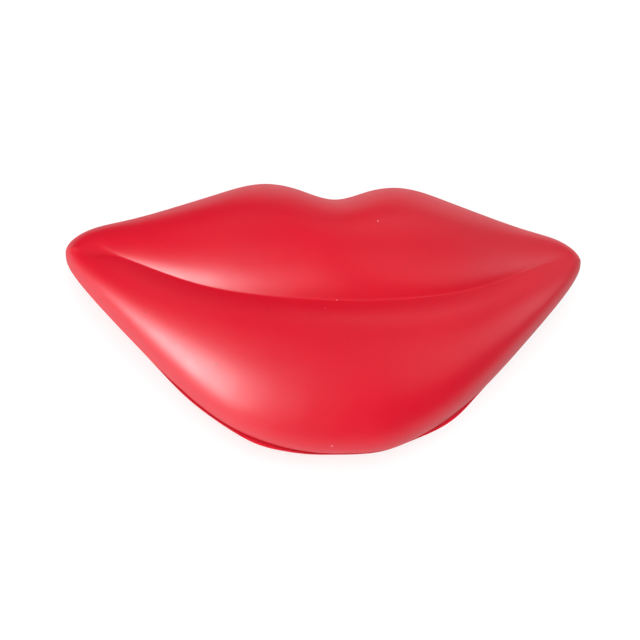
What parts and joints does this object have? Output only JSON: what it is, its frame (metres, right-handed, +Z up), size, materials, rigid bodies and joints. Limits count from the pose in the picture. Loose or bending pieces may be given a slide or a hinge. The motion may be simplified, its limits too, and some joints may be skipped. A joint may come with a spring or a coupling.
{
  "type": "novelty telephone",
  "caption": "One-piece telephone shaped as a pair of red lips, lying on its keypad side, with push keys, a hook plunger, slide switches and a line jack.",
  "frame": {"origin": "centre of the footprint, on the surface that the rubber feet stand on", "axes": "+X along the lips from corner to corner, +Y towards the upper lip, +Z up, away from the keypad side"},
  "size_m": [0.215, 0.1123, 0.0496],
  "materials": {
    "shell_red": "satin-gloss moulded red plastic",
    "key_white": "smooth white plastic with plain printed numbers",
    "bezel_black": "fine matt black plastic",
    "silicone_grey": "grey silicone rubber",
    "board_green": "green circuit board",
    "chip_black": "moulded black epoxy",
    "capacitor_blue": "shrink sleeve",
    "resistor_tan": "lacquered film",
    "diode_black": "moulded body",
    "plain_steel": "zinc-plated steel",
    "inner_black": "moulded black plastic",
    "brass_disc": "rolled brass",
    "knob_black": "ribbed black plastic",
    "plunger_white": "smooth white plastic",
    "spring_steel": "bright spring wire",
    "foam_black": "open foam ring",
    "cone_paper": "pressed paper",
    "magnet_grey": "ferrite magnet and yoke",
    "foot_rubber": "black rubber",
    "capsule_aluminium": "drawn aluminium can",
    "jack_plastic": "moulded black plastic",
    "contact_gold": "gold-plated wire",
    "lead_white": "insulated wire",
    "lead_black": "insulated wire",
    "lead_yellow": "insulated wire",
    "lead_green": "insulated wire",
    "ballast_steel": "plain steel plate"
  },
  "bodies": {
    "case": {"ballast_plate": "ballast_steel", "ballast_screws": "plain_steel", "board_screws": "plain_steel", "capacitors": "capacitor_blue", "case_screws": "plain_steel", "crystal": "plain_steel", "dialler_chip": "chip_black", "diodes": "diode_black", "hook_leads": "lead_yellow", "hook_spring": "spring_steel", "hook_switch": "inner_black", "hook_switch_screws": "plain_steel", "jack_contacts": "contact_gold", "jack_leads": "lead_green", "keypad_bezel": "bezel_black", "keypad_mat": "silicone_grey", "line_jack": "jack_plastic", "lower_shell": "shell_red", "main_board": "board_green", "mic_boot": "foot_rubber", "mic_capsule": "capsule_aluminium", "mic_leads": "lead_black", "receiver_clamp": "inner_black", "receiver_cone": "cone_paper", "receiver_frame": "plain_steel", "receiver_gasket": "foam_black", "receiver_leads": "lead_white", "receiver_magnet": "magnet_grey", "receiver_screws": "plain_steel", "resistors": "resistor_tan", "ringer_disc": "brass_disc", "ringer_housing": "inner_black", "ringer_switch_body": "plain_steel", "rubber_feet": "foot_rubber", "speech_chip": "chip_black", "tone_switch_body": "plain_steel", "transistors": "chip_black", "upper_shell": "shell_red"},
    "key_0": {"key_0": "key_white"},
    "key_1": {"key_1": "key_white"},
    "key_2": {"key_2": "key_white"},
    "key_3": {"key_3": "key_white"},
    "key_4": {"key_4": "key_white"},
    "key_5": {"key_5": "key_white"},
    "key_6": {"key_6": "key_white"},
    "key_7": {"key_7": "key_white"},
    "key_8": {"key_8": "key_white"},
    "key_9": {"key_9": "key_white"},
    "key_flash": {"key_flash": "key_white"},
    "key_hash": {"key_hash": "key_white"},
    "key_redial": {"key_redial": "key_white"},
    "key_star": {"key_star": "key_white"},
    "hook_plunger": {"hook_plunger": "plunger_white"},
    "ringer_switch_knob": {"ringer_switch_knob": "knob_black"},
    "tone_switch_knob": {"tone_switch_knob": "knob_black"}
  },
  "joints": [
    {"name": "key_0_press", "type": "slide", "parent": "case", "child": "key_0", "axis": [0, 0, 1], "range_m": [0, 0.0012], "stiffness_N_per_m": 400, "springref_m": -0.0005, "deforming": ["keypad_mat"]},
    {"name": "key_1_press", "type": "slide", "parent": "case", "child": "key_1", "axis": [0, 0, 1], "range_m": [0, 0.0012], "stiffness_N_per_m": 400, "springref_m": -0.0005, "deforming": ["keypad_mat"]},
    {"name": "key_2_press", "type": "slide", "parent": "case", "child": "key_2", "axis": [0, 0, 1], "range_m": [0, 0.0012], "stiffness_N_per_m": 400, "springref_m": -0.0005, "deforming": ["keypad_mat"]},
    {"name": "key_3_press", "type": "slide", "parent": "case", "child": "key_3", "axis": [0, 0, 1], "range_m": [0, 0.0012], "stiffness_N_per_m": 400, "springref_m": -0.0005, "deforming": ["keypad_mat"]},
    {"name": "key_4_press", "type": "slide", "parent": "case", "child": "key_4", "axis": [0, 0, 1], "range_m": [0, 0.0012], "stiffness_N_per_m": 400, "springref_m": -0.0005, "deforming": ["keypad_mat"]},
    {"name": "key_5_press", "type": "slide", "parent": "case", "child": "key_5", "axis": [0, 0, 1], "range_m": [0, 0.0012], "stiffness_N_per_m": 400, "springref_m": -0.0005, "deforming": ["keypad_mat"]},
    {"name": "key_6_press", "type": "slide", "parent": "case", "child": "key_6", "axis": [0, 0, 1], "range_m": [0, 0.0012], "stiffness_N_per_m": 400, "springref_m": -0.0005, "deforming": ["keypad_mat"]},
    {"name": "key_7_press", "type": "slide", "parent": "case", "child": "key_7", "axis": [0, 0, 1], "range_m": [0, 0.0012], "stiffness_N_per_m": 400, "springref_m": -0.0005, "deforming": ["keypad_mat"]},
    {"name": "key_8_press", "type": "slide", "parent": "case", "child": "key_8", "axis": [0, 0, 1], "range_m": [0, 0.0012], "stiffness_N_per_m": 400, "springref_m": -0.0005, "deforming": ["keypad_mat"]},
    {"name": "key_9_press", "type": "slide", "parent": "case", "child": "key_9", "axis": [0, 0, 1], "range_m": [0, 0.0012], "stiffness_N_per_m": 400, "springref_m": -0.0005, "deforming": ["keypad_mat"]},
    {"name": "key_flash_press", "type": "slide", "parent": "case", "child": "key_flash", "axis": [0, 0, 1], "range_m": [0, 0.0012], "stiffness_N_per_m": 400, "springref_m": -0.0005, "deforming": ["keypad_mat"]},
    {"name": "key_hash_press", "type": "slide", "parent": "case", "child": "key_hash", "axis": [0, 0, 1], "range_m": [0, 0.0012], "stiffness_N_per_m": 400, "springref_m": -0.0005, "deforming": ["keypad_mat"]},
    {"name": "key_redial_press", "type": "slide", "parent": "case", "child": "key_redial", "axis": [0, 0, 1], "range_m": [0, 0.0012], "stiffness_N_per_m": 400, "springref_m": -0.0005, "deforming": ["keypad_mat"]},
    {"name": "key_star_press", "type": "slide", "parent": "case", "child": "key_star", "axis": [0, 0, 1], "range_m": [0, 0.0012], "stiffness_N_per_m": 400, "springref_m": -0.0005, "deforming": ["keypad_mat"]},
    {"name": "hook_plunger_slide", "type": "slide", "parent": "case", "child": "hook_plunger", "axis": [0, 0, -1], "range_m": [0, 0.0035], "stiffness_N_per_m": 60, "springref_m": 0.012, "deforming": ["hook_spring"]},
    {"name": "ringer_switch_slide", "type": "slide", "parent": "case", "child": "ringer_switch_knob", "axis": [1, 0, 0], "range_m": [0, 0.004]},
    {"name": "tone_switch_slide", "type": "slide", "parent": "case", "child": "tone_switch_knob", "axis": [1, 0, 0], "range_m": [0, 0.003]}
  ]
}
